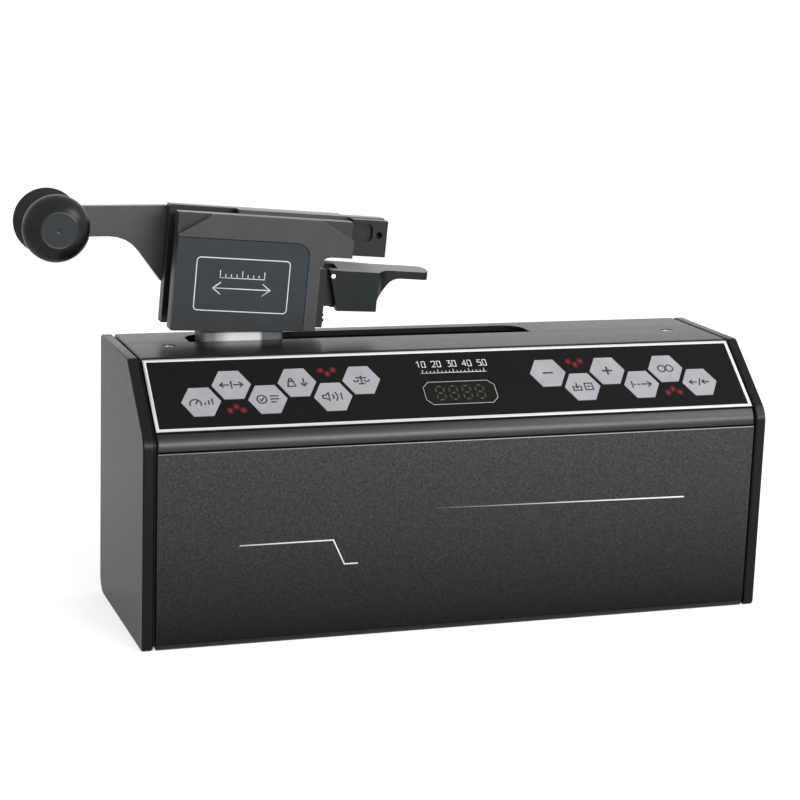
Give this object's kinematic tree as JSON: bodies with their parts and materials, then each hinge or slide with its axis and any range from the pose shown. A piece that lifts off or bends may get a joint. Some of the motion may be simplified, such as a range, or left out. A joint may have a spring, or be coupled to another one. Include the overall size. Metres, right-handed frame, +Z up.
{
  "type": "electronic racket stringing machine",
  "caption": "Boxed electronic tension unit with a sloped key panel and a travelling head that clamps, pulls and weighs a racket string.",
  "frame": {"origin": "centre of the housing underside, at the middle of its length and depth", "axes": "+X along the housing, in the direction the carriage travels; +Y from the front panel to the back; +Z up"},
  "size_m": [0.4553, 0.1306, 0.2582],
  "materials": {
    "black_anodised": "black anodised, satin",
    "textured_panel": "dark, finely textured",
    "overlay_film": "printed black film",
    "key_film": "light grey film",
    "dark_window": "dark smoked window",
    "black_plastic": "black, satin",
    "red_lamp": "red, glossy",
    "bright_steel": "bright",
    "motor_steel": "satin",
    "polished_aluminium": "polished",
    "plain_aluminium": "satin",
    "bronze": "machined",
    "board_green": "solder mask"
  },
  "bodies": {
    "housing": {"front_shell": "black_anodised", "rear_shell": "black_anodised", "left_end_plate": "black_anodised", "right_end_plate": "black_anodised", "front_panel": "textured_panel", "control_overlay": "overlay_film", "display_window": "dark_window", "display_module": "black_plastic", "indicator_lamps_1": "red_lamp", "indicator_lamps_2": "red_lamp", "indicator_lamps_3": "red_lamp", "indicator_lamps_4": "red_lamp", "top_screw_left": "bright_steel", "top_screw_right": "bright_steel", "control_board": "board_green", "power_supply": "plain_aluminium", "power_inlet": "black_plastic", "switch_frame": "black_plastic", "guide_shaft_front": "bright_steel", "guide_shaft_rear": "bright_steel", "shaft_block_left": "plain_aluminium", "shaft_block_right": "plain_aluminium", "screw_bearing": "bright_steel", "motor_plate": "plain_aluminium", "motor": "motor_steel"},
    "screw": {"lead_screw": "bright_steel", "shaft_coupling": "plain_aluminium", "motor_shaft": "bright_steel"},
    "carriage": {"carriage_block": "plain_aluminium", "lead_nut": "bronze", "neck_post": "polished_aluminium", "load_cell": "plain_aluminium", "pivot_pin": "bright_steel"},
    "head": {"front_plate": "black_anodised", "rear_plate": "black_anodised", "face_frame": "black_anodised", "face_cover": "black_plastic", "spool_arm": "black_anodised", "spool": "black_anodised", "spool_bolt": "bright_steel", "rear_jaw": "black_anodised", "spacer_block": "black_anodised", "lever_bracket": "black_anodised", "lever_pin": "bright_steel"},
    "moving_jaw": {"front_jaw": "black_anodised"},
    "plunger": {"release_plunger": "bright_steel"},
    "release_lever": {"lever": "black_plastic"},
    "rocker": {"power_rocker": "black_plastic"},
    "key_speed_cap": {"key_speed": "key_film"},
    "key_constant_pull_cap": {"key_constant_pull": "key_film"},
    "key_self_test_cap": {"key_self_test": "key_film"},
    "key_kilograms_cap": {"key_kilograms": "key_film"},
    "key_sound_cap": {"key_sound": "key_film"},
    "key_pounds_cap": {"key_pounds": "key_film"},
    "key_minus_cap": {"key_minus": "key_film"},
    "key_store_cap": {"key_store": "key_film"},
    "key_plus_cap": {"key_plus": "key_film"},
    "key_pre_stretch_cap": {"key_pre_stretch": "key_film"},
    "key_knot_cap": {"key_knot": "key_film"},
    "key_pull_release_cap": {"key_pull_release": "key_film"}
  },
  "joints": [
    {"name": "carriage_slide", "type": "slide", "parent": "housing", "child": "carriage", "axis": [1, 0, 0], "range_m": [0, 0.15]},
    {"name": "screw_spin", "type": "hinge", "parent": "housing", "child": "screw", "pos_m": [0, 0.039, 0.12], "axis": [1, 0, 0], "range_deg": [-5400, 0]},
    {"name": "head_rock", "type": "hinge", "parent": "carriage", "child": "head", "pos_m": [-0.114, 0.039, 0.186], "axis": [0, 1, 0], "range_deg": [-4.1, 0], "stiffness_Nm_per_rad": 30, "springref_deg": 1.72},
    {"name": "lever_pivot", "type": "hinge", "parent": "head", "child": "release_lever", "pos_m": [-0.05946, 0.041, 0.20415], "axis": [0, 1, 0], "range_deg": [0, 15], "stiffness_Nm_per_rad": 0.2, "springref_deg": -8.59},
    {"name": "jaw_slide", "type": "slide", "parent": "head", "child": "moving_jaw", "axis": [0, -1, 0], "range_m": [0, 0.0012]},
    {"name": "plunger_slide", "type": "slide", "parent": "head", "child": "plunger", "axis": [-0.9974, 0, 0.0715], "range_m": [0, 0.0037]},
    {"name": "key_speed_press", "type": "slide", "parent": "housing", "child": "key_speed_cap", "axis": [0, 0.6467, -0.7628], "range_m": [0, 0.0005], "stiffness_N_per_m": 2500, "springref_m": -0.0002},
    {"name": "key_constant_pull_press", "type": "slide", "parent": "housing", "child": "key_constant_pull_cap", "axis": [0, 0.6467, -0.7628], "range_m": [0, 0.0005], "stiffness_N_per_m": 2500, "springref_m": -0.0002},
    {"name": "key_self_test_press", "type": "slide", "parent": "housing", "child": "key_self_test_cap", "axis": [0, 0.6467, -0.7628], "range_m": [0, 0.0005], "stiffness_N_per_m": 2500, "springref_m": -0.0002},
    {"name": "key_kilograms_press", "type": "slide", "parent": "housing", "child": "key_kilograms_cap", "axis": [0, 0.6467, -0.7628], "range_m": [0, 0.0005], "stiffness_N_per_m": 2500, "springref_m": -0.0002},
    {"name": "key_sound_press", "type": "slide", "parent": "housing", "child": "key_sound_cap", "axis": [0, 0.6467, -0.7628], "range_m": [0, 0.0005], "stiffness_N_per_m": 2500, "springref_m": -0.0002},
    {"name": "key_pounds_press", "type": "slide", "parent": "housing", "child": "key_pounds_cap", "axis": [0, 0.6467, -0.7628], "range_m": [0, 0.0005], "stiffness_N_per_m": 2500, "springref_m": -0.0002},
    {"name": "key_minus_press", "type": "slide", "parent": "housing", "child": "key_minus_cap", "axis": [0, 0.6467, -0.7628], "range_m": [0, 0.0005], "stiffness_N_per_m": 2500, "springref_m": -0.0002},
    {"name": "key_store_press", "type": "slide", "parent": "housing", "child": "key_store_cap", "axis": [0, 0.6467, -0.7628], "range_m": [0, 0.0005], "stiffness_N_per_m": 2500, "springref_m": -0.0002},
    {"name": "key_plus_press", "type": "slide", "parent": "housing", "child": "key_plus_cap", "axis": [0, 0.6467, -0.7628], "range_m": [0, 0.0005], "stiffness_N_per_m": 2500, "springref_m": -0.0002},
    {"name": "key_pre_stretch_press", "type": "slide", "parent": "housing", "child": "key_pre_stretch_cap", "axis": [0, 0.6467, -0.7628], "range_m": [0, 0.0005], "stiffness_N_per_m": 2500, "springref_m": -0.0002},
    {"name": "key_knot_press", "type": "slide", "parent": "housing", "child": "key_knot_cap", "axis": [0, 0.6467, -0.7628], "range_m": [0, 0.0005], "stiffness_N_per_m": 2500, "springref_m": -0.0002},
    {"name": "key_pull_release_press", "type": "slide", "parent": "housing", "child": "key_pull_release_cap", "axis": [0, 0.6467, -0.7628], "range_m": [0, 0.0005], "stiffness_N_per_m": 2500, "springref_m": -0.0002},
    {"name": "rocker_tilt", "type": "hinge", "parent": "housing", "child": "rocker", "pos_m": [-0.096, 0.0637, 0.04], "axis": [1, 0, 0], "range_deg": [0, 14]}
  ],
  "couplings": [
    {"joint": "screw_spin", "follows": "carriage_slide", "rad_per_m": -628.3},
    {"joint": "jaw_slide", "follows": "lever_pivot", "m_per_rad": 0.00458},
    {"joint": "plunger_slide", "follows": "lever_pivot", "m_per_rad": 0.0139}
  ]
}
